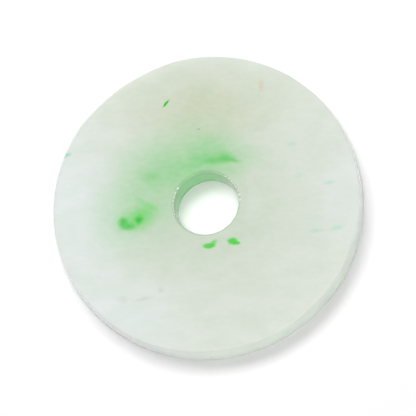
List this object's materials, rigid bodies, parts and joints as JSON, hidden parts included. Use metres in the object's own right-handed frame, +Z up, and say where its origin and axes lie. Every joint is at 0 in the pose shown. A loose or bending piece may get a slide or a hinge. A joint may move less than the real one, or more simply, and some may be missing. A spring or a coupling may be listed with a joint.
{
  "type": "jade bi disc",
  "caption": "Plain round jade bi disc, a flat polished slab with a round hole through its middle, lying on its underside.",
  "frame": {"origin": "middle of the underside, on the axis of the disc and its hole, on the surface it lies on", "axes": "+Z up along the axis of the disc; +Y towards the top of the picture, so that the green cloud lies on the -X +Y side of the hole; +X to the right"},
  "size_m": [0.054, 0.054, 0.0055],
  "materials": {
    "jade": "polished, pale celadon white with apple-green spots and a soft green cloud beside the hole"
  },
  "bodies": {
    "root": {"jade_disc": "jade"}
  },
  "joints": []
}
